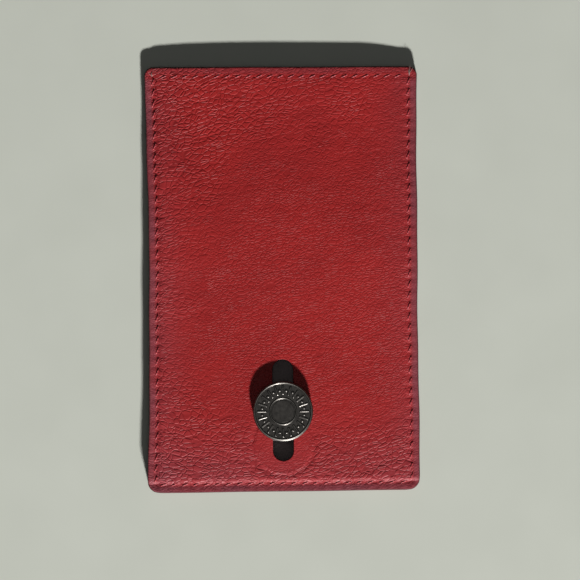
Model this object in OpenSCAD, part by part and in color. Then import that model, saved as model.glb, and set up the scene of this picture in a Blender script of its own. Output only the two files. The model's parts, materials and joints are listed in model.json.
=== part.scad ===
// Upright sleeve for business or bank cards, sewn from grained goatskin. A metal stud
// rides in a slot in the front and lifts the cards out of the mouth on a hidden slider.
// Frame: the sleeve lies on its back on z = 0, +Y points to the mouth, +Z out of the
// front, and the origin is under the middle of the outline. Millimetres.

/* [Sleeve] */
// Width over the two side seams
sleeve_w = 68; // [67:0.5:74]
// Height from the bottom seam to the mouth
sleeve_h = 106.5; // [104:0.5:116]
// Radius of the four outer corners
corner_r = 2.2; // [1:0.1:3.5]
// Thickness of the goatskin outside
skin_t = 0.6; // [0.5:0.05:0.9]
// Thickness of the lambskin lining
lining_t = 0.35; // [0.3:0.05:0.5]
// Clear gap left for the cards, at the mouth and behind the slider
card_gap = 0.85; // [0.8:0.05:1.5]
// Width of the welts in the side seams
side_welt_w = 3.4; // [3:0.1:4.5]
// Width of the welt in the bottom seam
bottom_welt_w = 4.2; // [3.5:0.1:5]
// Height above the middle at which the front starts to slope down to the mouth
slope_start = 4; // [0:1:10]

/* [Stitching] */
// Distance from the outer edge to the side and bottom seams
seam_margin = 2.1; // [1.8:0.1:2.6]
// Distance from the mouth to the hem stitching
hem_margin = 2.4; // [2:0.1:3]
// Length of one stitch, from hole to hole
stitch_pitch = 2.7; // [2.4:0.1:3.2]
// Width of the waxed linen thread
thread_w = 0.45; // [0.35:0.05:0.6]

/* [Slot] */
// Width of the slot
slot_w = 5.2; // [5:0.1:6]
// Length of the slot, end to end
slot_len = 25.5; // [20:0.5:28]
// Distance from the bottom edge to the lower end of the slot
slot_rise = 7.7; // [7:0.1:10]
// Margin of the stiffener around the slot
stiffener_margin = 3.2; // [2:0.1:4]
// Thickness of the stiffener
stiffener_t = 0.12; // [0.1:0.01:0.15]

/* [Slider] */
// Width of the slider plate
plate_w = 58; // [54:0.5:59]
// Height of the slider plate
plate_h = 25; // [22:0.5:28]
// Radius of the plate's upper corners
plate_corner_r = 3; // [1:0.5:6]
// Thickness of the steel plate
plate_t = 0.35; // [0.3:0.05:0.5]
// Thickness of the leather facing in front of the plate
facing_t = 0.3; // [0.2:0.05:0.4]
// Thickness of the leather backing behind the plate
backing_t = 0.2; // [0.2:0.05:0.3]
// Clearance between the slider and the lining around it
slide_gap = 0.1; // [0.05:0.05:0.2]

/* [Stud] */
// Diameter of the stud cap
stud_d = 15; // [13:0.5:16]
// Height of the stud's axis above the bottom edge, part of the way up the slot
stud_rise = 20.25; // [14:0.25:26]
// Drop from there to the closed position, where the plate nearly meets the bottom welt
stud_drop = 8.5; // [6:0.5:9]
// Diameter of the post in the slot
post_d = 4.4; // [3.6:0.1:4.8]
// Gap between the cap and the front
cap_gap = 0.6; // [0.3:0.05:0.9]
// Number of raised bars around the cap, each followed by a bead
bar_count = 20; // [14:1:22]

/* [Hidden] */

$fn = 64;

half_w = sleeve_w / 2;
bottom_y = -sleeve_h / 2;
mouth_y = sleeve_h / 2;

// Heights of the layers where the front is level.
wall_t = skin_t + lining_t;
pocket_h = card_gap + backing_t + plate_t + facing_t + slide_gap;
front_z = wall_t + pocket_h;       // inside face of the front lining
mouth_z = wall_t + card_gap;       // the same face at the mouth
front_top = front_z + wall_t;

// Stitching: how deep a thread is pressed into the leather, and how far it stands proud.
thread_sink = 0.18;
thread_proud = 0.12;
leg_w = 0.35;
end_clear = 0.6;                   // keeps the bottom run clear of the side runs
side_x = half_w - seam_margin;
bottom_seam_y = bottom_y + seam_margin;
hem_y = mouth_y - hem_margin;
hem_half = side_x - stitch_pitch / 2;
bottom_half = side_x - end_clear;

slot_r = slot_w / 2;
slot_low_y = bottom_y + slot_rise + slot_r;
slot_high_y = bottom_y + slot_rise + slot_len - slot_r;

stud_y = bottom_y + stud_rise;
plate_low_y = bottom_y + bottom_welt_w + slide_gap + stud_drop;
plate_z = wall_t + card_gap + backing_t;
tail_d = 2.2;                      // riveted end of the post, in the plate
tenon_d = 2.8;                     // upper end of the post, pressed into the cap
tenon_h = 1;
cap_z = front_top + cap_gap;

skin_colour = "#8f2a2e";
lining_colour = "#2b2627";
thread_colour = "#a03a3c";
metal_colour = "#4a4a48";
steel_colour = "#8c8e90";

// Height of the inside face of the front lining at a point along the sleeve.
function front_z_at(y) =
    y <= slope_start ? front_z
                     : front_z + (mouth_z - front_z) * (y - slope_start) / (mouth_y - slope_start);

// The sleeve's outline: a rectangle with four round corners.
module outline() {
    square([sleeve_w - 2 * corner_r, sleeve_h], center = true);
    square([sleeve_w, sleeve_h - 2 * corner_r], center = true);
    for (sx = [-1, 1], sy = [-1, 1])
        translate([sx * (half_w - corner_r), sy * (sleeve_h / 2 - corner_r)])
            circle(r = corner_r);
}

// A slot outline around the line that the post travels, grown by a margin.
module slot_shape(margin = 0) {
    r = slot_r + margin;
    translate([-r, slot_low_y]) square([2 * r, slot_high_y - slot_low_y]);
    translate([0, slot_low_y]) circle(r = r);
    translate([0, slot_high_y]) circle(r = r);
}

// A sheet of the sleeve's outline, flat on the back.
module back_sheet(z, thick) {
    translate([0, 0, z]) linear_extrude(thick) outline();
}

// A side profile (points along Y and Z), carried across the sleeve from x0 to x1.
module across(x0, x1, points) {
    translate([x0, 0, 0]) rotate([90, 0, 90]) linear_extrude(x1 - x0) polygon(points);
}

// A sheet of the sleeve's outline that follows the front, lifted above its inside face.
module front_sheet(lift, thick) {
    low = front_z + lift;
    low_mouth = mouth_z + lift;
    intersection() {
        across(-half_w, half_w, [
            [bottom_y, low], [slope_start, low], [mouth_y, low_mouth],
            [mouth_y, low_mouth + thick], [slope_start, low + thick], [bottom_y, low + thick]]);
        linear_extrude(front_top + 1) outline();
    }
}

module front_panel() {
    color(skin_colour) difference() {
        front_sheet(lining_t, skin_t);
        linear_extrude(front_top + 1) slot_shape();
    }
}

module front_lining() {
    color(lining_colour) difference() {
        front_sheet(0, lining_t);
        linear_extrude(front_top + 1) slot_shape();
        translate([0, 0, front_z + lining_t - stiffener_t])
            linear_extrude(1) slot_shape(stiffener_margin);
    }
}

// Thin fabric ring between the front panel and its lining, which stops the slot stretching.
module slot_stiffener() {
    color("#c9c2b0") translate([0, 0, front_z + lining_t - stiffener_t])
        linear_extrude(stiffener_t) difference() {
            slot_shape(stiffener_margin);
            slot_shape();
        }
}

module back_panel() {
    color(skin_colour) back_sheet(0, skin_t);
}

module back_lining() {
    color(lining_colour) back_sheet(skin_t, lining_t);
}

// Strip between the two linings in a side seam, thinner towards the mouth.
module side_welt(side) {
    low_y = bottom_y + bottom_welt_w;
    color(skin_colour) intersection() {
        across(min(side * half_w, side * (half_w - side_welt_w)),
               max(side * half_w, side * (half_w - side_welt_w)),
               [[low_y, wall_t], [mouth_y, wall_t], [mouth_y, mouth_z],
                [slope_start, front_z], [low_y, front_z]]);
        linear_extrude(front_top) outline();
    }
}

module bottom_welt() {
    color(skin_colour) translate([0, 0, wall_t]) linear_extrude(pocket_h) intersection() {
        outline();
        translate([-half_w, bottom_y]) square([sleeve_w, bottom_welt_w]);
    }
}

// One stitch that runs along +X from its hole: a bar on each face, and the leg that
// joins them through the layers. The bars lie between z_low and z_high.
module stitch(length, z_low, z_high) {
    bar = length - leg_w;
    bar_h = thread_sink + thread_proud;
    translate([-leg_w / 2, -thread_w / 2, z_high - bar_h]) cube([bar, thread_w, bar_h]);
    translate([-leg_w / 2, -thread_w / 2, z_low]) cube([bar, thread_w, thread_sink]);
    translate([-leg_w / 2, -leg_w / 2, z_low]) cube([leg_w, leg_w, z_high - z_low - bar_h / 2]);
}

// A row of stitches along the side seam at x, from the bottom seam to the hem.
module side_run(x) {
    run = hem_y - bottom_seam_y;
    count = round(run / stitch_pitch);
    step = run / count;
    for (i = [0 : count - 1]) {
        y = bottom_seam_y + i * step;
        top = front_z_at(y + step / 2) + wall_t + thread_proud;
        translate([x, y, 0]) rotate([0, 0, 90]) stitch(step, 0, top);
    }
}

// A row of stitches across the sleeve at y, between z_low and z_high.
module cross_run(y, half, z_low, z_high) {
    count = round(2 * half / stitch_pitch);
    step = 2 * half / count;
    for (i = [0 : count - 1])
        translate([-half + i * step, y, 0]) stitch(step, z_low, z_high);
}

module left_seam() {
    color(thread_colour) side_run(-side_x);
}

module right_seam() {
    color(thread_colour) side_run(side_x);
}

module bottom_seam() {
    color(thread_colour)
        cross_run(bottom_seam_y, bottom_half, 0, front_top + thread_proud);
}

module front_hem() {
    inside = front_z_at(hem_y);
    color(thread_colour) cross_run(hem_y, hem_half, inside + 0.02, inside + wall_t + thread_proud);
}

module back_hem() {
    color(thread_colour) cross_run(hem_y, hem_half, 0, wall_t);
}

// The plate's outline, with its lower edge where it waits above the bottom welt.
module plate_shape() {
    r = plate_corner_r;
    translate([-plate_w / 2, plate_low_y]) square([plate_w, plate_h - r]);
    translate([-plate_w / 2 + r, plate_low_y]) square([plate_w - 2 * r, plate_h]);
    for (side = [-1, 1])
        translate([side * (plate_w / 2 - r), plate_low_y + plate_h - r]) circle(r = r);
}

// Steel plate with its lower edge folded back into a ledge, which the cards stand on.
module slider_plate() {
    ledge_z = wall_t + slide_gap;
    color(steel_colour) difference() {
        union() {
            translate([0, 0, plate_z]) linear_extrude(plate_t) plate_shape();
            translate([-plate_w / 2, plate_low_y, ledge_z])
                cube([plate_w, plate_t, plate_z + plate_t - ledge_z]);
        }
        translate([0, stud_y, plate_z - 1]) cylinder(d = tail_d, h = plate_t + 2);
    }
}

// Leather in front of the plate, between the steel and the lining. It closes the slot above
// the post. Below the post the slot is open to the lining of the back.
module slider_facing() {
    color(lining_colour) difference() {
        translate([0, 0, plate_z + plate_t]) linear_extrude(facing_t) plate_shape();
        translate([0, stud_y, plate_z]) cylinder(d = post_d, h = plate_t + facing_t + 1);
    }
}

// Leather behind the plate, above the ledge. It covers the riveted end of the post.
module slider_backing() {
    low = plate_low_y + plate_t;
    color(lining_colour) translate([0, 0, plate_z - backing_t]) linear_extrude(backing_t)
        intersection() {
            plate_shape();
            translate([-plate_w / 2, low]) square([plate_w, plate_h]);
        }
}

// Turned post: a tail riveted in the plate, a shoulder in the slot, a tenon in the cap.
module stud_post() {
    shoulder_z = plate_z + plate_t;
    color(metal_colour) translate([0, stud_y, 0]) {
        translate([0, 0, plate_z]) cylinder(d = tail_d, h = plate_t);
        translate([0, 0, shoulder_z]) cylinder(d = post_d, h = cap_z - shoulder_z);
        translate([0, 0, cap_z]) cylinder(d = tenon_d, h = tenon_h);
    }
}

// Struck cap: a rounded rim, a sunk band with radial bars and beads, and a ringed centre.
module stud_cap() {
    r = stud_d / 2;
    rim_z = 1.8;
    band_z = 1.55;
    mark_z = 1.75;                 // top of the bars and beads
    ring_z = 1.85;
    ring_r = 3.35;
    centre_z = 1.6;
    bar_in = 4.3;
    bar_out = 6.3;
    bar_w = 0.45;
    bead_d = 0.5;
    bead_ring_r = 5.3;
    color(metal_colour) translate([0, stud_y, cap_z]) difference() {
        union() {
            rotate_extrude() polygon([
                [0, 0], [r - 0.8, 0], [r - 0.2, 0.25], [r, 0.7], [r, 1.2],
                [r - 0.15, 1.6], [r - 0.4, rim_z], [r - 0.65, rim_z], [r - 0.85, band_z],
                [ring_r + 0.45, band_z], [ring_r + 0.3, ring_z], [ring_r, ring_z],
                [ring_r - 0.25, centre_z], [0, centre_z + 0.05]]);
            for (i = [0 : bar_count - 1])
                rotate([0, 0, i * 360 / bar_count]) {
                    translate([bar_in, -bar_w / 2, 1]) cube([bar_out - bar_in, bar_w, mark_z - 1]);
                    rotate([0, 0, 180 / bar_count]) translate([bead_ring_r, 0, 1])
                        cylinder(d = bead_d, h = mark_z - 1);
                }
        }
        translate([0, 0, -1]) cylinder(d = tenon_d, h = 1 + tenon_h);
    }
}

front_panel();
front_lining();
slot_stiffener();
back_panel();
back_lining();
side_welt(-1);  // left_welt
side_welt(1);  // right_welt
bottom_welt();
left_seam();
right_seam();
bottom_seam();
front_hem();
back_hem();
slider_plate();
slider_facing();
slider_backing();
stud_post();
stud_cap();
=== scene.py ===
import json
import math

import bpy
import numpy as np
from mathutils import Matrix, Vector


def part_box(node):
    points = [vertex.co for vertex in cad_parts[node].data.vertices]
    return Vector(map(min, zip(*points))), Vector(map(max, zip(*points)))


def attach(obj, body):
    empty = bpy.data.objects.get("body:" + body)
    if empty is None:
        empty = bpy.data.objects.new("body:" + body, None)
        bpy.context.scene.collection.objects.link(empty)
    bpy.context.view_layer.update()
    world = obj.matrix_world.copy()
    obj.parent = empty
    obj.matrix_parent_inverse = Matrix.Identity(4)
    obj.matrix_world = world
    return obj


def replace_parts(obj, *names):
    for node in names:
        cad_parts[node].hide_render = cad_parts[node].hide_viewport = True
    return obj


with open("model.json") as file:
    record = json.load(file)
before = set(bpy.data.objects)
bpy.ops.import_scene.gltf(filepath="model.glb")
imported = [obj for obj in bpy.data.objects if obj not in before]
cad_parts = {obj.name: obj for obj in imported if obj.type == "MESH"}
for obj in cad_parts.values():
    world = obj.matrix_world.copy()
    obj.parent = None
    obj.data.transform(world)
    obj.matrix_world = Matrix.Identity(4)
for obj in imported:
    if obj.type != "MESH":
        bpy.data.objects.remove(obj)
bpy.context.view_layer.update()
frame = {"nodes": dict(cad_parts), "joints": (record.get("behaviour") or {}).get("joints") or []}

# ---------------------------------------------------------------- back panel
# Red goatskin, split to 0.6 mm and cut by hand, lying grain side down. The whole sleeve is built
# up on it. Its cut edge is dyed and burnished, and the seams are pressed into its grain side.
MM = 0.001
low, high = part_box("back_panel")
half_w, half_h = high.x, high.y
skin_t = high.z - low.z
corner_r = 2.2 * MM
seam_margin = 2.1 * MM
hem_margin = 2.4 * MM
stitch_pitch = 2.7 * MM
side_x = half_w - seam_margin
bottom_y = -half_h + seam_margin
hem_y = half_h - hem_margin
foot_half, hem_half = side_x - 0.6 * MM, side_x - stitch_pitch / 2   # half the seams that cross
hem_pull = 0.55
rim_lines = np.array([0, 0.03, 0.08, 0.16, 0.28]) * MM   # grid lines crowd where an edge rolls over
skin_step = 0.36 * MM
left_drawn_in, right_drawn_in, corner_wear = 0.85 * MM, 0.25 * MM, 0.32 * MM
channel_depth, pit_depth, pucker_height = 0.08 * MM, 0.14 * MM, 0.04 * MM
root_two = 1.414
grain_edge, flesh_edge = 0.26 * MM, 0.06 * MM   # how far the goatskin's faces roll over
dyed_over = 0.2 * MM                            # how far the edge dye reaches over a lining


def smooth(t):
    """Eases from 0 to 1: three t squared less two t cubed, with t held between 0 and 1."""
    t = np.clip(t, 0, 1)
    return t * t * (3 - 2 * t)


def noise(x, y, cell_x, cell_y, seed):
    """Value noise: a random height from -1 to 1 at each lattice point, eased between them."""
    heights = np.random.default_rng(seed).uniform(-1, 1, (256, 256))
    u, v = x / cell_x, y / cell_y
    i, j = np.floor(u).astype(int), np.floor(v).astype(int)
    a, b = smooth(u - i), smooth(v - j)
    i, j, i_next, j_next = i % 256, j % 256, (i + 1) % 256, (j + 1) % 256
    near = heights[i, j] * (1 - a) + heights[i_next, j] * a
    far = heights[i, j_next] * (1 - a) + heights[i_next, j_next] * a
    return near * (1 - b) + far * b


def even(start, end, step):
    """Evenly spaced grid lines about one step apart, an even number of gaps, without the last."""
    gaps = 2 * max(1, round((end - start) / step / 2))
    return np.linspace(start, end, gaps + 1)[:-1]


def edge_to_edge(start, end, step):
    """Grid lines from one rolled edge to another: crowded at both ends and even between."""
    inner = even(start + rim_lines[-1], end - rim_lines[-1], step)
    return np.concatenate([start + rim_lines[:-1], inner, end - rim_lines[::-1]])


def cut(x, y):
    """Rounds the outline's corners. In each corner's square a point is drawn towards the arc's
    centre by the ratio of its longer side to its distance, so the square becomes a quarter disc."""
    a, b = np.abs(x) - (half_w - corner_r), np.abs(y) - (half_h - corner_r)
    corner = (a > 0) & (b > 0)
    pull = np.where(corner, np.maximum(a, b) / np.maximum(np.hypot(a, b), 1e-9), 1)
    return (np.where(corner, np.sign(x) * (half_w - corner_r + a * pull), x),
            np.where(corner, np.sign(y) * (half_h - corner_r + b * pull), y))


def inset(x, y):
    """Distance in from the rounded outline, 0 on it: a rounded rectangle's distance formula."""
    a, b = np.abs(x) - (half_w - corner_r), np.abs(y) - (half_h - corner_r)
    outside = np.hypot(np.maximum(a, 0), np.maximum(b, 0))
    return np.maximum(corner_r - outside - np.minimum(np.maximum(a, b), 0), 0)


def lie(x, y):
    """How the sewn sleeve really lies: the left side drawn in at its waist and the right side a
    little, the mouth and the foot not quite square, all fading out towards the middle, and the
    foot's corners worn a little rounder than they were cut."""
    left, right = smooth(-x / half_w) ** 2, smooth(x / half_w) ** 2
    waist = 1 - (y / half_h) ** 2
    wave = 0.08 * MM * np.sin(y / (7.1 * MM)) + 0.05 * MM * np.sin(y / (2.9 * MM) + 1)
    left_in = left_drawn_in * waist + wave - 0.1 * MM
    right_in = right_drawn_in * waist - wave - 0.15 * MM
    end = smooth((np.abs(y) / half_h - 0.6) / 0.4)
    tilt = 0.16 * MM * (1 + x / half_w)
    ripple = 0.03 * MM * np.sin(x / (5 * MM))
    near_corner = smooth((np.abs(x) / half_w - 0.88) / 0.12) * smooth((-y / half_h - 0.92) / 0.08)
    worn = corner_wear * near_corner
    return (x + left * left_in - right * right_in - np.sign(x) * worn,
            y - end * np.sign(y) * tilt - end * ripple + worn)


def roll(distance, radius):
    """Drop of a rounded edge: a quarter circle of that radius, full at the edge, 0 a radius in."""
    reach = np.clip(radius - distance, 0, radius)
    return radius - np.sqrt(radius ** 2 - reach ** 2)


def run_of(length):
    """Number of stitches in a seam of that length, and the length of one."""
    count = round(length / stitch_pitch)
    return count, length / count


def seam_relief(along, across, length, pull=1.0):
    """What one seam does to the grain side: a shallow channel, a slanted pit at each awl hole, and
    the leather puckered up beside each stitch, all as deep as the thread's pull. along runs from 0
    to length, and across is 0 on the seam."""
    step = run_of(length)[1]
    on_seam = pull * smooth(along / step + 1.2) * smooth((length - along) / step + 1.2)
    phase = (along / step - np.round(along / step)) * step
    with_slant, over_slant = (phase + across) / root_two, (phase - across) / root_two
    channel = channel_depth * np.exp(-(across / (0.7 * MM)) ** 2)
    pit = pit_depth * np.exp(-(with_slant / (0.46 * MM)) ** 2 - (over_slant / (0.32 * MM)) ** 2)
    beside = np.exp(-((np.abs(across) - 0.95 * MM) / (0.6 * MM)) ** 2)
    pucker = pucker_height * np.cos(2 * np.pi * along / step) * beside
    return -on_seam * (channel + pit + pucker)


def pressed_ends(x, y):
    """How the two ends lie: the foot sinks 0.15 mm from its edge into the seam and rises unevenly
    behind it, and the mouth's edge slopes off by 0.12 mm beyond the hem."""
    uneven = 0.16 * MM * noise(x, y, 1.1 * MM, 40 * MM, 31)
    behind = smooth((y - bottom_y - 0.28 * MM + uneven) / (0.34 * MM))
    into_foot = smooth((y + half_h) / (2 * MM)) * (1 - behind)
    return -0.15 * MM * into_foot - 0.12 * MM * smooth((y - hem_y) / hem_margin)


def stitching_relief(x, y):
    """The relief of the three seams that close the sleeve and of the hem along the mouth."""
    side_len = hem_y - bottom_y
    sides = sum(seam_relief(y - bottom_y, x - sx * side_x, side_len) for sx in (-1, 1))
    foot = seam_relief(x + foot_half, y - bottom_y, 2 * foot_half)
    hem = seam_relief(x + hem_half, y - hem_y, 2 * hem_half, hem_pull)
    return sides + foot + hem + pressed_ends(x, y)


def wrinkled(x, y):
    """How deep the grain is from place to place, from 0.3 to 1: worn smooth in the middle, where
    it is held, fuller near the mouth's left corner, and creased where the foot's corners flex."""
    corner_fold = np.exp(-((y + half_h) / (17 * MM)) ** 2) * (0.5 + 0.5 * np.abs(x / half_w))
    mouth_fold = np.exp(-((y - half_h) / (26 * MM)) ** 2) * (0.62 - 0.3 * x / half_w)
    left_fold = 0.2 * smooth((-x / half_w - 0.2) / 0.8)
    patchy = 0.06 * noise(x, y, 9 * MM, 7 * MM, 5)
    return np.clip(0.47 + 0.5 * corner_fold + 0.4 * mouth_fold + left_fold + patchy, 0.3, 1)


def grain_place(x, y):
    """Where a point lies in the skin's own grain. The grain runs across and rises to the right by a
    slope that grows from left to right near the foot, and its lines wander by a value noise."""
    near_mouth = smooth((y + 22 * MM) / (30 * MM))
    foot_rise = 0.1 * x + 0.12 * x ** 2 / half_w
    mouth_rise = 0.15 * x - 0.05 * x ** 2 / half_w
    u = x + 0.55 * MM * noise(x, y, 2.3 * MM, 2.3 * MM, 11)
    v = y - foot_rise * (1 - near_mouth) - mouth_rise * near_mouth
    return u, v + 0.5 * MM * noise(x, y, 3.1 * MM, 2.7 * MM, 12)


def grain(x, y):
    """The coarse part of the grain: creases, each where a stretched value noise crosses zero, long
    at the foot and short towards the mouth, and between them low folds. It is shallow in the middle
    and outside the seams."""
    u, v = grain_place(x, y)
    long_crease = np.minimum(np.abs(noise(u, v, 4.4 * MM, 1.25 * MM, 13)), 0.45)
    short_crease = np.minimum(np.abs(noise(u, v, 2.2 * MM, 1.5 * MM, 15)), 0.45)
    towards_mouth = smooth((y + 34 * MM) / (22 * MM))
    crease = long_crease * (1 - towards_mouth) + 0.7 * short_crease * towards_mouth
    pebble = np.minimum(np.abs(noise(u, v, 1.9 * MM, 1.1 * MM, 17)), 0.4)
    fold = noise(u, v, 7 * MM, 2.2 * MM, 14)
    inside_seam = 0.3 + 0.7 * smooth((inset(x, y) - 2.2 * MM) / (1 * MM))
    return wrinkled(x, y) * inside_seam * MM * (0.11 * crease + 0.06 * pebble + 0.03 * fold)


def rim_of(block):
    """The border of a grid of vertex numbers, walked once round: foot, right, head, left."""
    return np.concatenate([block[0, :-1], block[:-1, -1], block[-1, :0:-1], block[:0:-1, 0]])


def wall(under, top, skip_under, skip_top):
    """Faces between two borders walked the same way, where one may have twice the points."""
    span = max(skip_under, skip_top)
    lower, upper = span // skip_under, span // skip_top
    starts = np.arange(len(under) // lower)[:, None]
    low_ids = under[(starts * lower + np.arange(lower + 1)) % len(under)]
    high_ids = top[(starts * upper + np.arange(upper, -1, -1)) % len(top)]
    return np.concatenate([low_ids, high_ids], axis=1).tolist()


def leather_board(xs, ys, under, top, shape=cut, skip_under=1, skip_top=1, hole=None):
    """A closed sheet: a grid over xs and ys at the height top(x, y), a second at under(x, y) with
    every line or every other one, and walls between their borders. shape moves the flat grid, and
    hole is the block of lines (first and last x, first and last y) that is left open. Also returns
    each point's x and y as the sheet was cut, which the marks go by."""
    points, flats, faces, borders, holes, used = [], [], [], [], [], 0
    for height, skip, up in ((under, skip_under, False), (top, skip_top, True)):
        x, y = shape(*np.meshgrid(xs[::skip], ys[::skip]))
        ids = used + np.arange(x.size).reshape(x.shape)
        used += x.size
        points.append(np.stack([*lie(x, y), height(x, y)], axis=-1).reshape(-1, 3))
        flats.append(np.stack([x.ravel(), y.ravel()]))
        quads = np.stack([ids[:-1, :-1], ids[:-1, 1:], ids[1:, 1:], ids[1:, :-1]], axis=-1)
        keep = np.ones(quads.shape[:2], bool)
        if hole:
            x0, x1, y0, y1 = (n // skip for n in hole)
            keep[y0:y1, x0:x1] = False
            holes.append(rim_of(ids[y0:y1 + 1, x0:x1 + 1]))
        quads = quads[keep]
        faces += (quads if up else quads[:, ::-1]).tolist()
        borders.append(rim_of(ids))
    walls = wall(borders[0], borders[1], skip_under, skip_top)
    inner = [face[::-1] for face in wall(holes[0], holes[1], skip_under, skip_top)] if hole else []
    return np.concatenate(points), faces + walls + inner, np.concatenate(flats, axis=1)


def build(name, points, faces, material, **marks):
    """Makes an object from points and faces, shaded smooth but for its sharp corners. Each mark is
    an attribute with a number or a place for each point, which the material reads. Unused points
    are left out."""
    corners = np.concatenate([np.asarray(face) for face in faces])
    used = np.zeros(len(points), bool)
    used[corners] = True
    renumbered = (np.cumsum(used) - 1)[corners]
    sizes = np.array([len(face) for face in faces])
    mesh = bpy.data.meshes.new(name)
    mesh.vertices.add(int(used.sum()))
    mesh.vertices.foreach_set("co", points[used].astype(np.float32).ravel())
    mesh.loops.add(len(renumbered))
    mesh.loops.foreach_set("vertex_index", renumbered.astype(np.int32))
    mesh.polygons.add(len(sizes))
    starts = np.concatenate([[0], np.cumsum(sizes)[:-1]])
    mesh.polygons.foreach_set("loop_start", starts.astype(np.int32))
    mesh.update(calc_edges=True)
    mesh.validate()
    for mark, values in marks.items():
        kind, field = ("FLOAT", "value") if values.ndim == 1 else ("FLOAT_VECTOR", "vector")
        attribute = mesh.attributes.new(mark, kind, "POINT")
        attribute.data.foreach_set(field, values[used].astype(np.float32).ravel())
    mesh.shade_smooth()
    mesh.set_sharp_from_angle(angle=math.radians(50))
    mesh.materials.append(material)
    made = bpy.data.objects.new(name, mesh)
    bpy.context.scene.collection.objects.link(made)
    return made


def colour(hex_code):
    """An sRGB hex colour as linear red, green, blue and alpha."""
    parts = [int(hex_code[i:i + 2], 16) / 255 for i in (1, 3, 5)]
    return [p / 12.92 if p <= 0.04045 else ((p + 0.055) / 1.055) ** 2.4 for p in parts] + [1]


def feed(tree, node, inputs):
    """Gives each of a node's sockets, by name or number, a value or another node's output."""
    for key, value in inputs.items():
        if isinstance(value, bpy.types.NodeSocket):
            tree.links.new(value, node.inputs[key])
        else:
            node.inputs[key].default_value = value


def add(tree, kind, settings=None, inputs=None):
    """Adds a shader node. settings are its properties, and inputs go to feed()."""
    made = tree.nodes.new("ShaderNode" + kind)
    for key, value in (settings or {}).items():
        setattr(made, key, value)
    feed(tree, made, inputs or {})
    return made


def finish_of(name):
    """A new material with an empty tree, and its Principled shader already wired to the output."""
    made = bpy.data.materials.new(name)
    made.use_nodes = True
    made.node_tree.nodes.clear()
    shader = add(made.node_tree, "BsdfPrincipled")
    add(made.node_tree, "OutputMaterial", inputs={"Surface": shader.outputs["BSDF"]})
    return made, made.node_tree, shader


def in_millimetres(tree, scale=(1, 1, 1), turn=0.0):
    """Object coordinates in millimetres, turned about Z and stretched by scale."""
    place = add(tree, "TexCoord")
    return add(tree, "Mapping", inputs={"Vector": place.outputs["Object"], "Rotation": (0, 0, turn),
                                        "Scale": tuple(1000 * s for s in scale)}).outputs["Vector"]


def mark_of(tree, name):
    """A mark of the mesh, read as a number."""
    return add(tree, "Attribute", {"attribute_name": name}).outputs["Fac"]


def cloud_of(tree, place, scale, detail, roughness=0.5):
    """A soft noise from 0 to 1."""
    return add(tree, "TexNoise", inputs={"Vector": place, "Scale": scale, "Detail": detail,
                                         "Roughness": roughness}).outputs["Fac"]


def times_plus(tree, value, factor, base):
    """value times factor, plus base."""
    return add(tree, "Math", {"operation": "MULTIPLY_ADD"},
               {0: value, 1: factor, 2: base}).outputs[0]


def two_tones(tree, value, dark, pale, start=0.0, end=1.0):
    """A colour that runs from dark to pale as value runs from start to end."""
    ramp = add(tree, "ValToRGB", inputs={"Fac": value})
    for stop, position, tone in zip(ramp.color_ramp.elements, (start, end), (dark, pale)):
        stop.position, stop.color = position, colour(tone)
    return ramp.outputs["Color"]


def mixed(tree, amount, first, second, blend="MIX"):
    """The first colour, turned into the second or multiplied by it, by amount."""
    return add(tree, "Mix", {"data_type": "RGBA", "blend_type": blend},
               {0: amount, 6: first, 7: second}).outputs[2]


def relief(tree, height, depth):
    """The normal of a surface with bumps of that depth in metres."""
    return add(tree, "Bump", inputs={"Strength": 1.0, "Distance": depth,
                                     "Height": height}).outputs["Normal"]


def wandering(tree, place, size, reach):
    """Coordinates pushed sideways by up to reach by a noise of that size, so that cells wander."""
    push = add(tree, "TexNoise", inputs={"Vector": place, "Scale": 1 / size, "Detail": 1.0})
    return add(tree, "VectorMath", {"operation": "MULTIPLY_ADD"},
               {0: push.outputs["Color"], 1: (reach, reach, 0), 2: place}).outputs["Vector"]


edge_dye = "#3a1a1c"


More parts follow.
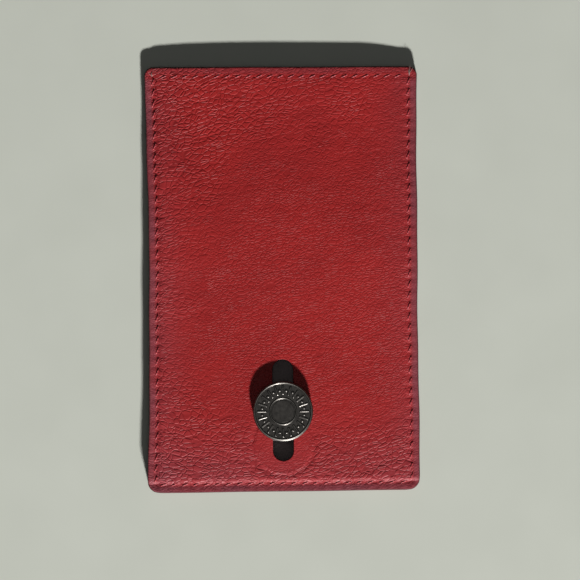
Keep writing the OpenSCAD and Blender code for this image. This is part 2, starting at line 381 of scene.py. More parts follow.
def goatskin(name):
    """Glazed red goatskin: pebbles about 1.6 by 1 mm, longer across than up and finer in the
    middle of the skin, parted by thin creases that the colour darkens a little as painted shade,
    dyed through and glazed to a low gloss. The marks say where the grain runs, how deep it is,
    where the skin is cut, and where it is worn greyer with a painted sheen."""
    made, tree, shader = finish_of(name)
    flat = in_millimetres(tree)
    place = add(tree, "Attribute", {"attribute_name": "grain_place"}).outputs["Vector"]
    depth, rim, rub_and_sheen = (mark_of(tree, name) for name in ("grain_depth", "cut_edge", "rub_and_sheen"))
    bent = wandering(tree, place, 0.9, 0.42)
    turned = add(tree, "Mapping", inputs={"Vector": bent,
                                          "Scale": (0.62, 1.0, 1.0)}).outputs["Vector"]
    pebbles = []
    for fineness in (1.0, 1.35):
        cell = add(tree, "TexVoronoi", {"feature": "DISTANCE_TO_EDGE"},
                   {"Vector": turned, "Scale": fineness, "Randomness": 0.9}).outputs["Distance"]
        pebbles.append(add(tree, "MapRange", {"interpolation_type": "SMOOTHSTEP"},
                           {"Value": cell, "From Min": 0.0, "From Max": 0.15}).outputs["Result"])
    coarse = add(tree, "MapRange", inputs={"Value": depth, "From Min": 0.5,
                                           "From Max": 0.66}).outputs[0]
    pebble = add(tree, "Mix", {"data_type": "FLOAT"},
                 {0: coarse, 2: pebbles[1], 3: pebbles[0]}).outputs[0]
    domed = add(tree, "TexVoronoi", {"feature": "SMOOTH_F1"},
                {"Vector": turned, "Scale": 1.9, "Smoothness": 0.6}).outputs["Distance"]
    hair = cloud_of(tree, turned, 3.2, 3.0, 0.6)
    height = times_plus(tree, hair, 0.24, times_plus(tree, domed, -0.22, pebble))
    scaled = add(tree, "Math", {"operation": "MULTIPLY"}, {0: height, 1: depth}).outputs[0]
    dye = two_tones(tree, cloud_of(tree, flat, 1 / 13, 2.0), "#9e1b1b", "#a71f1e", 0.35, 0.65)
    # Painted shade: the dye is darkened by up to 7 % along the creases between the pebbles.
    shade = add(tree, "MapRange", inputs={"Value": pebble, "To Min": 0.93, "To Max": 1.01})
    crease_shaded = mixed(tree, 1.0, dye, shade.outputs["Result"], "MULTIPLY")
    # The worn tone: greyer and less red than the dye, paler where the fine grain rises. It is real
    # wear with a painted sheen in it.
    worn_sheen_tone = two_tones(tree, hair, "#6f2c38", "#955059", 0.3, 0.7)
    gloss = add(tree, "MapRange", inputs={"Value": hair, "From Min": 0.3, "From Max": 0.7,
                                          "To Min": 0.46, "To Max": 0.59})
    feed(tree, shader, {
        "Base Color": mixed(tree, rim, mixed(tree, rub_and_sheen, crease_shaded, worn_sheen_tone), colour(edge_dye)),
        "Roughness": times_plus(tree, rim, 0.3, gloss.outputs["Result"]),
        "Normal": relief(tree, scaled, 0.085 * MM),
        "IOR": 1.5,
        "Specular IOR Level": 0.36})   # a worn glaze, with gaps between the glints
    return made


def wear_and_sheen_marks(x, y):
    """The marks of a goatskin piece: where its grain runs and how deep, where it is cut, with the
    dye of the edge reaching 0.42 mm over it at the sides and 0.12 at the foot, and where it is
    worn greyer with a painted sheen in the colour, which is outside the seams and, less, where
    hands wear it at the foot and sides."""
    distance = inset(x, y)
    outside = 1 - smooth((distance - 1.2 * MM) / (1.1 * MM))
    streak = 0.5 + 0.5 * noise(x, y, 6 * MM, 6 * MM, 21)
    # Where hands wear the foot and sides, the colour is worn greyer and carries a painted sheen.
    handling_and_sheen = 0.42 * np.exp(-((y + half_h) / (13 * MM)) ** 2)
    held = 0.24 + 0.2 * smooth(-x / half_w) * np.exp(-((y + 18 * MM) / (26 * MM)) ** 2)
    handling_and_sheen = handling_and_sheen + held * np.exp(-((half_w - np.abs(x)) / (7.5 * MM)) ** 2)
    dye_reach = (0.12 + 0.3 * smooth((distance - half_w + np.abs(x)) / (-0.5 * MM) + 1)) * MM
    u, v = grain_place(x, y)
    outside = outside * (1 - 0.6 * smooth((y - hem_y + 1.5 * MM) / (1.5 * MM)))
    return {"grain_place": np.stack([u, v, 0 * u], axis=-1) / MM,
            "grain_depth": wrinkled(x, y) * (1 - 0.6 * outside),
            "cut_edge": 1 - smooth(distance / dye_reach),
            "rub_and_sheen": np.maximum(outside * (0.5 + 0.4 * streak), handling_and_sheen * (0.6 + 0.4 * streak))}


xs = edge_to_edge(-half_w, half_w, skin_step)
ys = edge_to_edge(-half_h, half_h, skin_step)
red_goatskin = goatskin("glazed_red_goatskin")
points, faces, flat = leather_board(
    xs, ys, skip_top=2,
    under=lambda x, y: roll(inset(x, y), grain_edge) - stitching_relief(x, y)
    + grain(-x, y) * -0.6 + 0.06 * MM,
    top=lambda x, y: skin_t - roll(inset(x, y), flesh_edge))
points[:, 2] = np.maximum(points[:, 2], 0)
back = build("back_goatskin", points, faces, red_goatskin, **wear_and_sheen_marks(*flat))
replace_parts(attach(back, "sleeve"), "back_panel")

# ---------------------------------------------------------------- back lining
# Dark lambskin, skived to 0.35 mm and glued over the flesh side of the back. It is soft and matt,
# with a grain too fine to feel, so that cards slide over it.
low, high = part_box("back_lining")
lining_t = high.z - low.z
floor_z = high.z
lining_edge, lining_step = 0.08 * MM, 1.5 * MM


def lambskin(name):
    """Dark chrome-tanned lambskin with a matt finish: pores about 0.25 mm apart, almost no gloss,
    and the same dye on its cut edges as the goatskin has."""
    made, tree, shader = finish_of(name)
    flat = in_millimetres(tree)
    pores = add(tree, "TexVoronoi", {"feature": "SMOOTH_F1"},
                {"Vector": wandering(tree, flat, 1.5, 0.5), "Scale": 3.6, "Smoothness": 0.6})
    cloud = cloud_of(tree, flat, 0.2, 3.0)
    dye = two_tones(tree, cloud, "#6e6260", "#887b79", 0.3, 0.7)
    gloss = add(tree, "MapRange", inputs={"Value": cloud, "To Min": 0.6, "To Max": 0.78})
    feed(tree, shader, {
        "Base Color": mixed(tree, mark_of(tree, "cut_edge"), dye, colour(edge_dye)),
        "Roughness": gloss.outputs["Result"],
        "Normal": relief(tree, pores.outputs["Distance"], 0.04 * MM)})
    return made


def dyed_rim(x, y):
    """Where a lining's cut edge is dyed, with the dye reaching a little way over it."""
    return {"cut_edge": 1 - smooth(inset(x, y) / dyed_over)}


dark_lambskin = lambskin("matt_dark_lambskin")
lining_xs = edge_to_edge(-half_w, half_w, lining_step)
lining_ys = edge_to_edge(-half_h, half_h, lining_step)
points, faces, flat = leather_board(
    lining_xs, lining_ys,
    under=lambda x, y: skin_t + roll(inset(x, y), lining_edge),
    top=lambda x, y: floor_z - roll(inset(x, y), lining_edge))
lining = build("back_lambskin", points, faces, dark_lambskin, **dyed_rim(*flat))
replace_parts(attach(lining, "sleeve"), "back_lining")

# ---------------------------------------------------------------- welts
# Three strips of the same goatskin between the two linings, in the seams. They hold the front off
# the back by the depth of the slider and the cards, and thin out towards the mouth.
level_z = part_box("front_lining")[1].z - lining_t
mouth_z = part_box("front_lining")[0].z
slope_start = 4 * MM
mouth_pinch, mouth_gape = 0.3 * MM, 0.25 * MM
thinnest_seam = 0.25 * MM
welt_edge = 0.12 * MM


def ceiling(x, y):
    """Underside of the front lining: level over the slider, sloping down towards the mouth, bowed
    up in the middle of the pocket, gaping a little at the mouth itself, and pressed thin by the
    stitching along the sides and at the corners."""
    slope = smooth((y - slope_start) / (half_h - slope_start))
    level = level_z + (mouth_z - mouth_pinch - level_z) * slope
    distance = half_w - np.abs(x)
    bow = 0.16 * MM * (1 - (x / half_w) ** 2) * smooth((y + half_h) / (16 * MM)) * (1 - slope)
    at_seam = (1 - smooth(distance / (4.4 * MM))) * (0.22 + 0.2 * slope ** 2)
    at_corner = (1 - smooth(distance / (13 * MM))) * slope ** 2 * (0.3 + 0.15 * x / half_w)
    foot = (1 - smooth((y + half_h) / (4.2 * MM))) * 0.18 * MM
    gape = mouth_gape * smooth((y - half_h) / (16 * MM) + 1) * (1 - (x / half_w) ** 2)
    pressed = (at_seam + at_corner) * MM
    return np.maximum(level + bow + gape - pressed - foot, floor_z + thinnest_seam)


def welt(name, node, x0, x1, y0, y1):
    """A strip of goatskin that fills the seam between the two linings."""
    points, faces, flat = leather_board(
        edge_to_edge(x0, x1, 0.8 * MM), edge_to_edge(y0, y1, 1.2 * MM),
        under=lambda x, y: floor_z + roll(inset(x, y), welt_edge),
        top=lambda x, y: ceiling(x, y) - roll(inset(x, y), welt_edge))
    made = build(name, points, faces, red_goatskin, **wear_and_sheen_marks(*flat))
    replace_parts(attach(made, "sleeve"), node)


welt_room = 0.4 * MM   # the foot welt's top is lower by this, to clear the slider at its lowest
welt_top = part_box("bottom_welt")[1].y - welt_room
for node, name in (("left_welt", "left_side_welt"), ("right_welt", "right_side_welt")):
    low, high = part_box(node)
    welt(name, node, low.x, high.x, low.y - welt_room, high.y)
welt("foot_welt", "bottom_welt", -half_w, half_w, -half_h, welt_top)

# ---------------------------------------------------------------- slider plate
# Spring steel, blanked and tumbled, with its lower edge folded back into the ledge that the cards
# stand on. Only that fold shows, through the slot when the stud is up, so the exact plate stays.


def spring_steel(name):
    """Cold-rolled spring steel: grey, with faint rolling lines 0.3 mm apart, up and down."""
    made, tree, shader = finish_of(name)
    lines = cloud_of(tree, in_millimetres(tree, (3.3, 0.12, 1)), 1.0, 4.0)
    gloss = add(tree, "MapRange", inputs={"Value": lines, "To Min": 0.28, "To Max": 0.46})
    feed(tree, shader, {"Base Color": two_tones(tree, lines, "#6f7072", "#a3a4a6"),
                        "Roughness": gloss.outputs["Result"], "Metallic": 1.0})
    return made


plate = frame["nodes"]["slider_plate"]
plate.data.materials.clear()
plate.data.materials.append(spring_steel("rolled_spring_steel"))

# ---------------------------------------------------------------- slider facing and backing
# Two pieces of the dark lambskin glued to the plate. The one in front keeps the steel off the
# lining and closes the slot above the post, but for its last 4 mm when the stud is at its lowest.
# The one behind covers the riveted end of the post.
rounding = 3 * MM
for node, name in (("slider_facing", "slider_front_lambskin"),
                   ("slider_backing", "slider_rear_lambskin")):
    low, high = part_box(node)
    mid_x, mid_y = (low.x + high.x) / 2, (low.y + high.y) / 2
    reach_x, reach_y = (high.x - low.x) / 2, (high.y - low.y) / 2

    def rounded_head(x, y):
        """Rounds the two upper corners with a radius of 3 mm, in the way that cut() does."""
        a, b = np.abs(x - mid_x) - (reach_x - rounding), y - mid_y - (reach_y - rounding)
        corner = (a > 0) & (b > 0)
        pull = np.where(corner, np.maximum(a, b) / np.maximum(np.hypot(a, b), 1e-9), 1)
        return (np.where(corner, mid_x + np.sign(x - mid_x) * (reach_x - rounding + a * pull), x),
                np.where(corner, mid_y + reach_y - rounding + b * pull, y))

    def from_edge(x, y):
        """Distance in from the nearer side of the piece."""
        return np.maximum(np.minimum(reach_x - np.abs(x - mid_x), reach_y - np.abs(y - mid_y)), 0)

    points, faces, flat = leather_board(
        edge_to_edge(low.x, high.x, 1.2 * MM), edge_to_edge(low.y, high.y, 1.2 * MM),
        shape=rounded_head,
        under=lambda x, y: low.z + roll(from_edge(x, y), flesh_edge),
        top=lambda x, y: high.z - roll(from_edge(x, y), lining_edge))
    dyed = 1 - smooth(from_edge(*flat) / dyed_over)
    cover = build(name, points, faces, dark_lambskin, cut_edge=dyed)
    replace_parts(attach(cover, "slider"), node)

# ---------------------------------------------------------------- stud post
# Turned steel with the same dark plating as the cap. Its tail is riveted in the plate, its
# shoulder runs in the slot, and its tenon is pressed into the cap.


def gunmetal(name, worn):
    """Brass or steel plated dark grey, then lacquered: nearly black in the hollows, and worn to a
    paler grey along what stands proud, as the raised mark says."""
    made, tree, shader = finish_of(name)
    place = in_millimetres(tree)
    patches = two_tones(tree, cloud_of(tree, place, 1.1, 4.0, 0.65),
                        "#4e4b48", "#6f6b66", 0.3, 0.72)
    raised = mark_of(tree, "raised")
    rub = add(tree, "Math", {"operation": "MULTIPLY"}, {0: raised, 1: worn})
    nicks = cloud_of(tree, place, 5.0, 3.0)
    gloss = add(tree, "MapRange", inputs={"Value": nicks, "From Min": 0.3, "From Max": 0.7,
                                          "To Min": 0.26, "To Max": 0.42})
    feed(tree, shader, {
        "Base Color": mixed(tree, rub.outputs[0], patches, colour("#a19d96")),
        "Roughness": times_plus(tree, raised, 0.14, gloss.outputs["Result"]),
        "Normal": relief(tree, nicks, 0.012 * MM),
        "Metallic": 1.0})
    return made


post = frame["nodes"]["stud_post"]
post.data.materials.clear()
post.data.materials.append(gunmetal("turned_gunmetal", 0.0))

# ---------------------------------------------------------------- stud cap
# A cap struck in one blow: a rounded outer rim, a sunk band with raised bars and beads between two
# rims, and a shallow round centre. It is plated dark and worn bright where fingers push it.
low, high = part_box("stud_cap")
stud_x, stud_y = (low.x + high.x) / 2, (low.y + high.y) / 2
cap_r = (high.x - low.x) / 2
mark_count, mark_height = 20, 0.13 * MM
bar_start, bar_end, bar_half = 4.3 * MM, 6.4 * MM, 0.14 * MM
bead_ring, bead_r = 5.3 * MM, 0.34 * MM
edge_r = 0.2 * MM


def bump_between(value, start, end, soft):
    """1 between start and end, easing to 0 over soft outside them."""
    return smooth((value - start) / soft + 1) * smooth((end - value) / soft + 1)


def cap_marks(r, angle):
    """Height of the struck marks on the sunk band: mark_count bars, with a bead after each."""
    step = 2 * np.pi / mark_count
    off_bar = (angle / step - np.round(angle / step)) * step * r
    shifted = angle + step / 2
    off_bead = np.hypot((shifted / step - np.round(shifted / step)) * step * r, r - bead_ring)
    bar = bump_between(off_bar, -bar_half, bar_half, 0.12 * MM)
    bar = bar * bump_between(r, bar_start, bar_end, 0.15 * MM)
    bead = np.sqrt(np.clip(1 - (off_bead / bead_r) ** 2, 0, 1))
    return mark_height * np.maximum(bar, bead)


# The cap's section from its middle outwards over the rim and back underneath.
top_r = np.concatenate([np.linspace(0.15, 2.6, 8), np.linspace(2.7, 3.9, 22),
                        np.linspace(3.98, 6.62, 40), np.linspace(6.66, 7.3, 14)]) * MM
ring = 0.2 * MM * bump_between(top_r, 3.24 * MM, 3.34 * MM, 0.18 * MM)
step_in = 0.05 * MM * (1 - smooth((top_r - 2.72 * MM) / (0.12 * MM)))
rim = 0.25 * MM * smooth((top_r - 6.84 * MM) / (0.22 * MM))
rim = rim - edge_r * np.clip((top_r - 7.08 * MM) / (0.22 * MM), 0, 1) ** 2
top_z = low.z + 1.55 * MM + ring + rim + step_in + 0.03 * MM * (1 - smooth(top_r / (3.3 * MM)))
turn = np.linspace(0, 1, 9)[1:] * np.pi / 2
side_r = cap_r - edge_r * (1 - np.sin(turn))
side_z = low.z + 1.3 * MM + 0.3 * MM * np.cos(turn)
back_r = cap_r - 0.75 * MM * (1 - np.cos(turn))
back_z = low.z + 0.8 * MM - 0.8 * MM * np.sin(turn)
under_r = np.array([6.0, 4.5, 3.0, 1.5, 0.4]) * MM
section_r = np.concatenate([top_r, side_r, back_r, under_r])
section_z = np.concatenate([top_z, side_z, back_z, np.full(len(under_r), low.z)])
angles = np.linspace(0, 2 * np.pi, 400, endpoint=False)
r_grid, angle_grid = np.meshgrid(section_r, angles, indexing="ij")
z_grid = section_z[:, None] + np.zeros_like(angle_grid)
z_grid[:len(top_r)] += cap_marks(r_grid[:len(top_r)], angle_grid[:len(top_r)])
points = np.stack([stud_x + r_grid * np.cos(angle_grid), stud_y + r_grid * np.sin(angle_grid),
                   z_grid], axis=-1).reshape(-1, 3)
ids = np.arange(len(points)).reshape(r_grid.shape)
after = np.roll(ids, -1, axis=1)
quads = np.stack([ids[:-1], ids[1:], after[1:], after[:-1]], axis=-1).reshape(-1, 4).tolist()
faces = quads + [ids[0].tolist(), ids[-1, ::-1].tolist()]
proud = np.clip((z_grid - low.z - 1.64 * MM) / (0.15 * MM), 0, 1)
proud[len(top_r):] = np.where(section_z[len(top_r):, None] > low.z + 1.45 * MM, 0.5, 0)
cap = build("struck_stud_cap", points, faces, gunmetal("struck_gunmetal", 0.55),
            raised=proud.ravel())
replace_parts(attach(cap, "slider"), "stud_cap")

# ---------------------------------------------------------------- front lining
# The same dark lambskin as behind, glued to the flesh side of the front. The slot is punched
# through both together, so their edges are flush.
low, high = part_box("slot_stiffener")
stiffener_margin = 3.2 * MM
slot_r = (high.x - low.x) / 2 - stiffener_margin
slot_low, slot_high = low.y + stiffener_margin + slot_r, high.y - stiffener_margin - slot_r
bend_band = 6 * MM
arc_gaps = 16


def slot_inset(x, y):
    """Distance out from the slot's edge: from the line between its arc centres, less the radius."""
    return np.maximum(np.hypot(x, y - np.clip(y, slot_low, slot_high)) - slot_r, 0)


def cut_with_slot(x, y):
    """The outline's cut, and the two ends of the open block bent into half circles. The push is the
    arc's height at x, all of it at the arc's centre, and falls to nothing over the bend band."""
    x, y = cut(x, y)
    arc = np.sqrt(np.maximum(slot_r ** 2 - x ** 2, 0))
    below = np.clip(1 - (slot_low - y) / bend_band, 0, 1) * (y <= slot_low)
    above = np.clip(1 - (y - slot_high) / bend_band, 0, 1) * (y >= slot_high)
    return x, y - arc * below + arc * above


def slotted_lines(step):
    """Grid lines both ways for a sheet with the slot in it, and the block of lines that is open."""
    across = slot_r * np.sin(np.linspace(-np.pi / 2, np.pi / 2, arc_gaps + 1))
    right = edge_to_edge(slot_r, half_w, step)
    xs = np.concatenate([-right[::-1], across[1:-1], right])
    foot = edge_to_edge(-half_h, slot_low, step)
    middle = edge_to_edge(slot_low, slot_high, step)
    head = edge_to_edge(slot_high, half_h, step)
    ys = np.concatenate([foot, middle[1:], head[1:]])
    first = len(right) - 1
    return xs, ys, (first, first + arc_gaps, len(foot) - 1, len(foot) + len(middle) - 2)


lining_xs, lining_ys, opening = slotted_lines(1.4 * MM)
stiffener_t = high.z - low.z


def stiffened(x, y):
    """How far the lining is thinned to take the stiffener round the slot."""
    return stiffener_t * (1 - smooth((slot_inset(x, y) - stiffener_margin) / (0.2 * MM)))


points, faces, flat = leather_board(
    lining_xs, lining_ys, shape=cut_with_slot, hole=opening,
    under=lambda x, y: ceiling(x, y) + roll(inset(x, y), lining_edge),
    top=lambda x, y: ceiling(x, y) + lining_t - roll(inset(x, y), lining_edge) - stiffened(x, y))
lining = build("front_lambskin", points, faces, dark_lambskin, **dyed_rim(*flat))
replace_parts(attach(lining, "sleeve"), "front_lining")

# ---------------------------------------------------------------- slot stiffener
# A ring of starched cotton tape around the slot, glued between the lining and the front so that
# the slot does not stretch. Only its cut edge shows, as a pale line in the wall of the slot.


def cotton_tape(name):
    """Starched plain-weave cotton, threads 0.3 mm apart: cream, matt, with a woven relief."""
    made, tree, shader = finish_of(name)
    place = in_millimetres(tree)
    weave = [add(tree, "TexWave", {"bands_direction": way}, {"Vector": place, "Scale": 0.53})
             for way in ("X", "Y")]
    crossed = add(tree, "Math", {"operation": "MULTIPLY"},
                  {0: weave[0].outputs["Fac"], 1: weave[1].outputs["Fac"]})
    # Painted shade: the cream runs darker where the threads dip under each other, from the same
    # height as the relief.
    feed(tree, shader, {"Base Color": two_tones(tree, crossed.outputs[0], "#8f887a", "#cdc6b6"),
                        "Normal": relief(tree, crossed.outputs[0], 0.03 * MM), "Roughness": 0.85})
    return made


turns = np.linspace(0, 2 * np.pi, 96, endpoint=False)
out_x, out_y = np.cos(turns), np.sin(turns)
centre_y = np.where(out_y > 0, slot_high, slot_low)
outer_r = slot_r + stiffener_margin
loops = [(slot_r, 0), (slot_r, 1), (outer_r, 1), (outer_r, 0)]
rings = []
for radius, upper in loops:
    x, y = radius * out_x, centre_y + radius * out_y
    z = ceiling(x, y) + lining_t - stiffener_t * (1 - upper)
    rings.append(np.stack([*lie(x, y), z], axis=-1))
ids = np.arange(4 * len(turns)).reshape(4, -1)
onward, outward = np.roll(ids, -1, axis=1), np.roll(ids, -1, axis=0)
across = np.roll(outward, -1, axis=1)
faces = np.stack([ids, outward, across, onward], axis=-1).reshape(-1, 4).tolist()
stiffener = build("slot_cotton_ring", np.concatenate(rings), faces,
                  cotton_tape("starched_cotton_tape"))
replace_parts(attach(stiffener, "sleeve"), "slot_stiffener")

# ---------------------------------------------------------------- front panel
# Red goatskin with its grain side out, cut from the middle of the skin. The slot is punched with a
# round-ended punch. The cap has pressed a faint ring into it at the foot of its travel.
stud_drop = -frame["joints"][0]["range_m"][0]
closed_y = stud_y - stud_drop
imprint_depth = 0.14 * MM
front_edge, slot_edge = 0.28 * MM, 0.14 * MM
xs, ys, opening = slotted_lines(0.335 * MM)


def front_height(x, y):
    """The grain side of the front: the stack below it, its own thickness, the seams, the grain, the
    cap's imprint, and the two edges rolled over."""
    away = np.hypot(x - stud_x, y - closed_y)
    imprint = imprint_depth * smooth((away - cap_r + 0.3 * MM) / (0.4 * MM))
    imprint = imprint * (1 - smooth((away - cap_r - 0.1 * MM) / (1.4 * MM)))
    stack = ceiling(x, y) + lining_t + skin_t
    calm = smooth(slot_inset(x, y) / (1.2 * MM)) * (0.35 + 0.65 * smooth((away - cap_r) / MM + 1))
    edges = roll(inset(x, y), front_edge) + roll(slot_inset(x, y), slot_edge)
    return stack + stitching_relief(x, y) + grain(x, y) * calm - imprint - edges


points, faces, flat = leather_board(
    xs, ys, shape=cut_with_slot, hole=opening, skip_under=2,
    under=lambda x, y: ceiling(x, y) + lining_t + roll(inset(x, y), 0.05 * MM),
    top=front_height)
marks = wear_and_sheen_marks(*flat)
slot_dye = 0.75 * (1 - smooth(slot_inset(*flat) / (0.1 * MM)))
marks["cut_edge"] = np.maximum(marks["cut_edge"], slot_dye)
# The disc the cap has pressed is smoother: shallower grain, and less of the worn tone with its
# painted sheen.
from_cap = np.hypot(flat[0] - stud_x, flat[1] - closed_y)
outside_cap = smooth((from_cap - cap_r) / MM + 1)
marks["grain_depth"] = marks["grain_depth"] * (0.5 + 0.5 * outside_cap)
marks["rub_and_sheen"] = marks["rub_and_sheen"] * (0.8 + 0.2 * outside_cap)
front = build("front_goatskin", points, faces, red_goatskin, **marks)
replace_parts(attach(front, "sleeve"), "front_panel")

# ---------------------------------------------------------------- seams and hems
# Saddle stitching in waxed linen, dyed to match: two needles through each slanted awl hole, so a
# stitch lies aslant on both faces and the two threads meet inside the leather.
thread_r = 0.23 * MM
seam_depth, hem_depth = 0.95 * MM, 0.3 * MM
reach_along = np.array([0, 0, 0.03, 0.1, 0.22, 0.36, 0.5, 0.64, 0.78, 0.9, 0.97, 1, 1])
crown = np.array([0, 0, 0, 0, 0.04, 0.06, 0.065, 0.06, 0.04, 0, 0, 0, 0]) * MM
plunge = np.array([1, 0.52, 0.21, 0.04, 0, 0, 0, 0, 0, 0.04, 0.21, 0.52, 1])
girth = np.array([0.8, 0.85, 0.95, 1, 1.04, 1.06, 1.06, 1.06, 1.04, 1, 0.95, 0.85, 0.8])
slant, hole_gap = 0.42 * MM, 0.4 * MM
hem_sunk = 0.25 * MM


def tubes(paths, side, radius, sides=8):
    """Round tubes along many paths at once. Each ring lies across its path: it is spanned by side,
    the level direction across the path, and by side crossed with the path's own direction."""
    along = np.gradient(paths, axis=1)
    along /= np.maximum(np.linalg.norm(along, axis=2, keepdims=True), 1e-12)
    side = np.broadcast_to(side[:, None, :], paths.shape)
    over = np.cross(side, along)
    turn = np.arange(sides) * 2 * np.pi / sides
    ring = side[:, :, None] * np.cos(turn)[:, None] + over[:, :, None] * np.sin(turn)[:, None]
    points = paths[:, :, None] + ring * np.asarray(radius).reshape(1, -1, 1, 1)
    ids = np.arange(points.size // 3).reshape(points.shape[:3])
    after = np.roll(ids, -1, axis=2)
    quads = np.stack([ids[:, :-1], ids[:, 1:], after[:, 1:], after[:, :-1]], axis=-1).reshape(-1, 4)
    caps = np.concatenate([ids[:, 0], ids[:, -1, ::-1]])
    return points.reshape(-1, 3), quads.tolist() + caps.tolist()


def stitch_paths(start, end, surface, outwards, depth):
    """Centre lines of the stitches that run from each start to each end on one face, where surface
    is the face's height and outwards is 1 for the front and -1 for the back. Each rises a little in
    the middle, and at its ends goes down its holes by depth."""
    flat = start[:, None] + (end - start)[:, None] * reach_along[None, :, None]
    height = surface(flat[..., 0], flat[..., 1]) + outwards * (crown - depth * plunge)
    side = np.stack([start[:, 1] - end[:, 1], end[:, 0] - start[:, 0], 0 * start[:, 0]], axis=-1)
    side /= np.linalg.norm(side, axis=1, keepdims=True)
    return np.stack([*lie(flat[..., 0], flat[..., 1]), height], axis=-1), side * outwards


def front_face(x, y):
    """Height of the front's channel, where the thread lies."""
    return ceiling(x, y) + lining_t + skin_t - 0.2 * MM + pressed_ends(x, y)


def back_face(x, y):
    """Height of the back's channel. The thread lies in it, and does not stand below the back."""
    return np.full_like(x, thread_r + 0.075 * MM)


def under_front(x, y):
    """Where the front hem's inner stitches lie, sunk in the front's lining."""
    return ceiling(x, y) + hem_sunk


def over_back(x, y):
    """Where the back hem's inner stitches lie, sunk in the back's lining."""
    return np.full_like(x, floor_z - hem_sunk)


def row(first, last, length):
    """Both ends of each stitch in a seam from first to last, each leaning from one end of its
    slanted hole to the other end of the next."""
    count = run_of(length)[0]
    stops = np.linspace(0, 1, count + 1)[:, None]
    holes = np.array(first) * (1 - stops) + np.array(last) * stops
    ahead = (np.array(last) - np.array(first)) / length
    lean = slant * np.array([-ahead[1], ahead[0]]) * (1 if ahead[0] > 0.5 else -1)
    gap = hole_gap * ahead
    return holes[:-1] + gap - lean, holes[1:] - gap + lean


def waxed_linen(name):
    """Waxed linen cord, two plies twisted every 0.6 mm, dyed a little paler than the skin."""
    made, tree, shader = finish_of(name)
    twist = add(tree, "TexWave", {"bands_direction": "DIAGONAL"},
                {"Vector": in_millimetres(tree), "Scale": 0.62, "Distortion": 0.6})
    fibres = cloud_of(tree, in_millimetres(tree), 6.0, 3.0)
    height = times_plus(tree, fibres, 0.4, twist.outputs["Fac"])
    # Painted shade: the colour runs darker in the low parts between the plies, from the same height
    # as the relief.
    feed(tree, shader, {"Base Color": two_tones(tree, height, "#7a1f27", "#ad383d", 0.2),
                        "Normal": relief(tree, height, 0.05 * MM), "Roughness": 0.55})
    return made


red_linen = waxed_linen("waxed_red_linen")


def sew(name, node, first, last, faces_sewn, depth):
    """One seam or hem: a row of stitches on each of the faces, going down into it by depth."""
    length = math.dist(first, last)
    start, end = row(first, last, length)
    paths, sides = zip(*[stitch_paths(start, end, surface, way, depth)
                         for surface, way in faces_sewn])
    points, faces = tubes(np.concatenate(paths), np.concatenate(sides), thread_r * girth)
    made = build(name, points, faces, red_linen)
    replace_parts(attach(made, "sleeve"), node)


both = [(front_face, 1), (back_face, -1)]
sew("left_linen_seam", "left_seam", (-side_x, bottom_y), (-side_x, hem_y), both, seam_depth)
sew("right_linen_seam", "right_seam", (side_x, bottom_y), (side_x, hem_y), both, seam_depth)
sew("foot_linen_seam", "bottom_seam", (-foot_half, bottom_y), (foot_half, bottom_y), both,
    seam_depth)
sew("front_linen_hem", "front_hem", (-hem_half, hem_y), (hem_half, hem_y),
    [(front_face, 1), (under_front, -1)], hem_depth)
sew("back_linen_hem", "back_hem", (-hem_half, hem_y), (hem_half, hem_y),
    [(over_back, 1), (back_face, -1)], hem_depth)

# ---------------------------------------------------------------- thread ends
# The ends of the two side seams, trimmed short at the mouth's corners, shorter on the left, and
# gone pale and frayed.


def linen_ends(name):
    """Bare linen fibre, its wax and dye gone: pale grey-pink, matt."""
    made, tree, shader = finish_of(name)
    fibres = cloud_of(tree, in_millimetres(tree), 4.0, 2.0)
    feed(tree, shader, {"Base Color": two_tones(tree, fibres, "#8a5a58", "#b5a49c"),
                        "Roughness": 0.8})
    return made


paths, sides = [], []
reach = np.linspace(0, 1, 9)
fibre_r = 0.085 * MM * np.linspace(1, 0.45, len(reach))
for side_sign in (-1, 1):
    for lean, length, lift in ((0.15, 2.6, 0.35), (0.75, 1.9, 0.15), (-0.3, 1.5, 0.5)):
        x = side_sign * (side_x + MM * (0.2 + lean * reach ** 1.5))
        y = hem_y + MM * (0.1 + length * (0.7 + 0.3 * side_sign) * reach)
        z = front_face(x, y) + MM * (0.2 + lift * reach * (1 - 0.6 * reach))
        paths.append(np.stack([*lie(x, y), z], axis=-1))
        sides.append((1.0, 0.0, 0.0))
points, faces = tubes(np.array(paths), np.array(sides), fibre_r, sides=6)
ends = build("frayed_thread_ends", points, faces, linen_ends("bare_linen_fibre"))
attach(ends, "sleeve")

# ---------------------------------------------------------------- floor, light and camera
# A plain pale floor, one soft key lamp low over the foot and a little to the right, a broad faint
# lamp overhead, and a camera straight above that sees 145 mm at the height of the front.


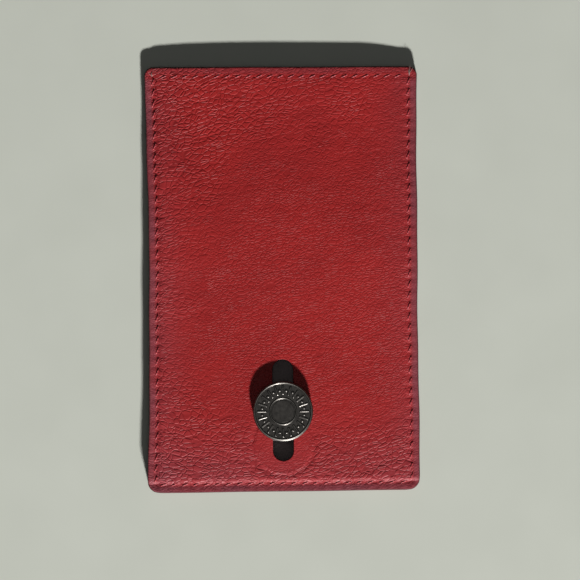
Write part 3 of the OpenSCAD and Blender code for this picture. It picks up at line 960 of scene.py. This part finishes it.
def pale_floor(name):
    """Plain pale painted board, matt, with the faintest unevenness of tone."""
    made, tree, shader = finish_of(name)
    cloud = cloud_of(tree, in_millimetres(tree), 0.05, 2.0)
    feed(tree, shader, {"Base Color": two_tones(tree, cloud, "#c9ccc0", "#d2d5c9"),
                        "Roughness": 0.9})
    return made


floor_half = 4.0
corners = np.array([[-1, -1, 0], [1, -1, 0], [1, 1, 0], [-1, 1, 0]]) * floor_half
floor = build("floor", corners, [[0, 1, 2, 3]], pale_floor("pale_matt_board"))


def lamp(name, toward, distance, wide, tall, power):
    """An oblong area lamp that shines at the object from the direction toward, hidden from view."""
    data = bpy.data.lights.new(name, "AREA")
    data.shape, data.size, data.size_y, data.energy = "RECTANGLE", wide, tall, power
    made = bpy.data.objects.new(name, data)
    way = np.array(toward) / np.linalg.norm(toward)
    made.location = way * distance
    made.rotation_mode = "QUATERNION"
    made.rotation_quaternion = made.location.to_track_quat("Z", "Y")
    made.visible_camera = False
    bpy.context.scene.collection.objects.link(made)


key_height, key_side = math.radians(21), math.radians(11.7)
toward_key = (math.cos(key_height) * math.sin(key_side),
              -math.cos(key_height) * math.cos(key_side), math.sin(key_height))
lamp("key", toward_key, distance=4.0, wide=0.37, tall=0.16, power=326)
lamp("overhead", (0, 0.04, 1), distance=1.6, wide=1.1, tall=1.1, power=1.15)
world = bpy.data.worlds.new("studio")
world.use_nodes = True
feed(world.node_tree, world.node_tree.nodes["Background"],
     {"Color": colour("#dfe3e6"), "Strength": 0.036})
bpy.context.scene.world = world
bpy.context.scene.view_settings.view_transform = "Standard"

camera_data = bpy.data.cameras.new("camera")
camera = bpy.data.objects.new("camera", camera_data)
camera_height, field, sensor = 1.5, 145 * MM, 36
camera_data.sensor_width = sensor
camera_data.lens = sensor * (camera_height - level_z) / field
camera.location = (2.0 * MM, -2.75 * MM, camera_height)
camera.rotation_euler = (0, 0, math.radians(-0.5))
camera_data.clip_start, camera_data.clip_end = 0.05, 20
bpy.context.scene.collection.objects.link(camera)
bpy.context.scene.camera = camera
